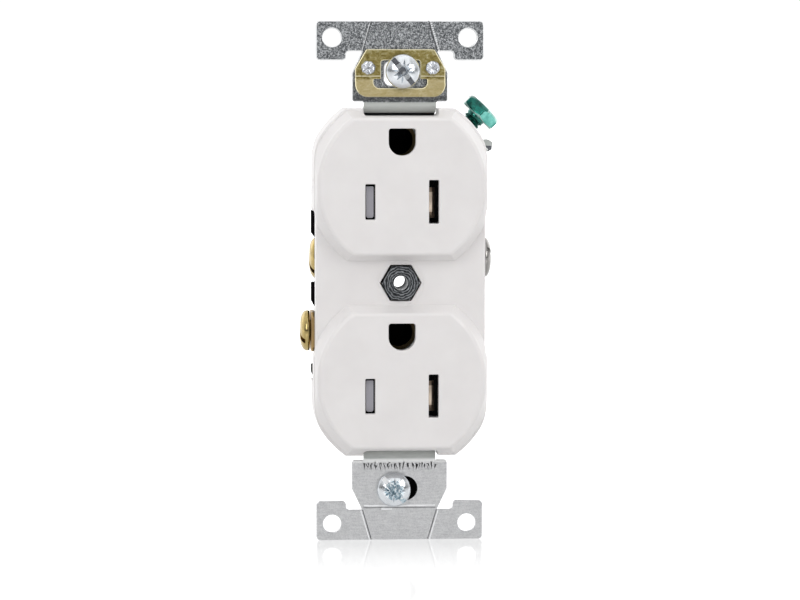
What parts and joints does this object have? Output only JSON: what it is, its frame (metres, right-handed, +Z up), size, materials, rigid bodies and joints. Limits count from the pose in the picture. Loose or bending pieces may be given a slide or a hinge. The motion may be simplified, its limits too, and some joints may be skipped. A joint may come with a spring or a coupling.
{
  "type": "duplex wall outlet",
  "caption": "Tamper-resistant duplex wall outlet on a steel mounting strap, with self-grounding clip, side and back wired clamp terminals, ground screw and sprung shutters.",
  "frame": {"origin": "middle of the mounting strap's front plane, on the axis of the centre post", "axes": "+Z up along the strap with the ground holes above the blade slots, +Y back into the wall box, the faces look towards -Y"},
  "size_m": [0.0401, 0.0288, 0.1048],
  "materials": {
    "cover_white": "white moulded nylon, fine satin texture",
    "body_black": "black moulded thermoplastic, satin",
    "galvanised_steel": "galvanised steel strip, spangled",
    "clip_brass": "yellow passivated spring brass",
    "rivet_steel": "bright staked steel",
    "post_steel": "dark turned steel",
    "zinc_screw": "bright zinc plate",
    "retainer_fibre": "black fibre",
    "green_screw": "green dyed plating, glossy",
    "brass_screw": "bright brass plate",
    "silver_screw": "bright nickel plate",
    "contact_brass": "rolled brass strip",
    "plated_brass": "tinned brass strip",
    "shutter_grey": "grey acetal",
    "bronze_leaf": "phosphor bronze leaf",
    "spring_steel": "spring wire",
    "base_nylon": "dark grey nylon"
  },
  "bodies": {
    "device": {"front_cover": "cover_white", "back_body": "body_black", "mounting_strap": "galvanised_steel", "ground_clip": "clip_brass", "clip_rivet_left": "rivet_steel", "clip_rivet_right": "rivet_steel", "center_post": "post_steel", "hot_contact_strip": "contact_brass", "neutral_contact_strip": "plated_brass", "ground_contact_upper": "contact_brass", "ground_contact_lower": "contact_brass", "ground_rivet_upper": "rivet_steel", "ground_rivet_lower": "rivet_steel", "shutter_base_upper": "base_nylon", "shutter_base_lower": "base_nylon", "shutter_spring_upper": "spring_steel", "shutter_spring_lower": "spring_steel", "assembly_screw_upper": "zinc_screw", "assembly_screw_lower": "zinc_screw"},
    "shutter_slider_upper": {"shutter_upper": "shutter_grey", "shutter_leaf_upper": "bronze_leaf"},
    "shutter_slider_lower": {"shutter_lower": "shutter_grey", "shutter_leaf_lower": "bronze_leaf"},
    "clamp_hot_upper": {"pressure_plate_hot_upper": "contact_brass"},
    "screw_hot_upper": {"terminal_screw_hot_upper": "brass_screw"},
    "clamp_hot_lower": {"pressure_plate_hot_lower": "contact_brass"},
    "screw_hot_lower": {"terminal_screw_hot_lower": "brass_screw"},
    "clamp_neutral_upper": {"pressure_plate_neutral_upper": "plated_brass"},
    "screw_neutral_upper": {"terminal_screw_neutral_upper": "silver_screw"},
    "clamp_neutral_lower": {"pressure_plate_neutral_lower": "plated_brass"},
    "screw_neutral_lower": {"terminal_screw_neutral_lower": "silver_screw"},
    "top_screw": {"mounting_screw_top": "zinc_screw"},
    "bottom_carrier": {"screw_retainer": "retainer_fibre"},
    "bottom_screw": {"mounting_screw_bottom": "zinc_screw"},
    "green_screw": {"ground_screw": "green_screw"}
  },
  "joints": [
    {"name": "shutter_upper_slide", "type": "slide", "parent": "device", "child": "shutter_slider_upper", "axis": [1, 0, 0], "range_m": [0, 0.0028], "stiffness_N_per_m": 150, "springref_m": -0.001, "deforming": ["shutter_spring_upper"]},
    {"name": "shutter_lower_slide", "type": "slide", "parent": "device", "child": "shutter_slider_lower", "axis": [1, 0, 0], "range_m": [0, 0.0028], "stiffness_N_per_m": 150, "springref_m": -0.001, "deforming": ["shutter_spring_lower"]},
    {"name": "clamp_hot_upper_travel", "type": "slide", "parent": "device", "child": "clamp_hot_upper", "axis": [-1, 0, 0], "range_m": [0, 0.003]},
    {"name": "terminal_hot_upper_turn", "type": "hinge", "parent": "clamp_hot_upper", "child": "screw_hot_upper", "pos_m": [-0.0159, 0.01, 0.00424], "axis": [-1, 0, 0], "range_deg": [-1, 1362]},
    {"name": "clamp_hot_lower_travel", "type": "slide", "parent": "device", "child": "clamp_hot_lower", "axis": [-1, 0, 0], "range_m": [-0.0019, 0.0011]},
    {"name": "terminal_hot_lower_turn", "type": "hinge", "parent": "clamp_hot_lower", "child": "screw_hot_lower", "pos_m": [-0.0178, 0.01, -0.01064], "axis": [-1, 0, 0], "range_deg": [-863, 500]},
    {"name": "clamp_neutral_upper_travel", "type": "slide", "parent": "device", "child": "clamp_neutral_upper", "axis": [1, 0, 0], "range_m": [-0.0015, 0.0015]},
    {"name": "terminal_neutral_upper_turn", "type": "hinge", "parent": "clamp_neutral_upper", "child": "screw_neutral_upper", "pos_m": [0.0174, 0.01, 0.00424], "axis": [1, 0, 0], "range_deg": [-682, 682]},
    {"name": "clamp_neutral_lower_travel", "type": "slide", "parent": "device", "child": "clamp_neutral_lower", "axis": [1, 0, 0], "range_m": [0, 0.003]},
    {"name": "terminal_neutral_lower_turn", "type": "hinge", "parent": "clamp_neutral_lower", "child": "screw_neutral_lower", "pos_m": [0.0159, 0.01, -0.01064], "axis": [1, 0, 0], "range_deg": [-1, 1362]},
    {"name": "mounting_screw_top_turn", "type": "hinge", "parent": "device", "child": "top_screw", "pos_m": [0.0004, 0, 0.0423], "axis": [0, 1, 0], "continuous": true},
    {"name": "mounting_screw_bottom_shift", "type": "slide", "parent": "device", "child": "bottom_carrier", "axis": [1, 0, 0], "range_m": [-0.0004, 0.0028]},
    {"name": "mounting_screw_bottom_turn", "type": "hinge", "parent": "bottom_carrier", "child": "bottom_screw", "pos_m": [-0.0012, 0, -0.0421], "axis": [0, 1, 0], "continuous": true},
    {"name": "ground_screw_turn", "type": "hinge", "parent": "device", "child": "green_screw", "pos_m": [0.01573, 0.0083, 0.03263], "axis": [0.7071, 0, 0.7071], "range_deg": [-740, 700]}
  ],
  "couplings": [
    {"joint": "terminal_hot_upper_turn", "follows": "clamp_hot_upper_travel", "rad_per_m": 7915.8},
    {"joint": "terminal_hot_lower_turn", "follows": "clamp_hot_lower_travel", "rad_per_m": 7915.8},
    {"joint": "terminal_neutral_upper_turn", "follows": "clamp_neutral_upper_travel", "rad_per_m": 7915.8},
    {"joint": "terminal_neutral_lower_turn", "follows": "clamp_neutral_lower_travel", "rad_per_m": 7915.8}
  ]
}
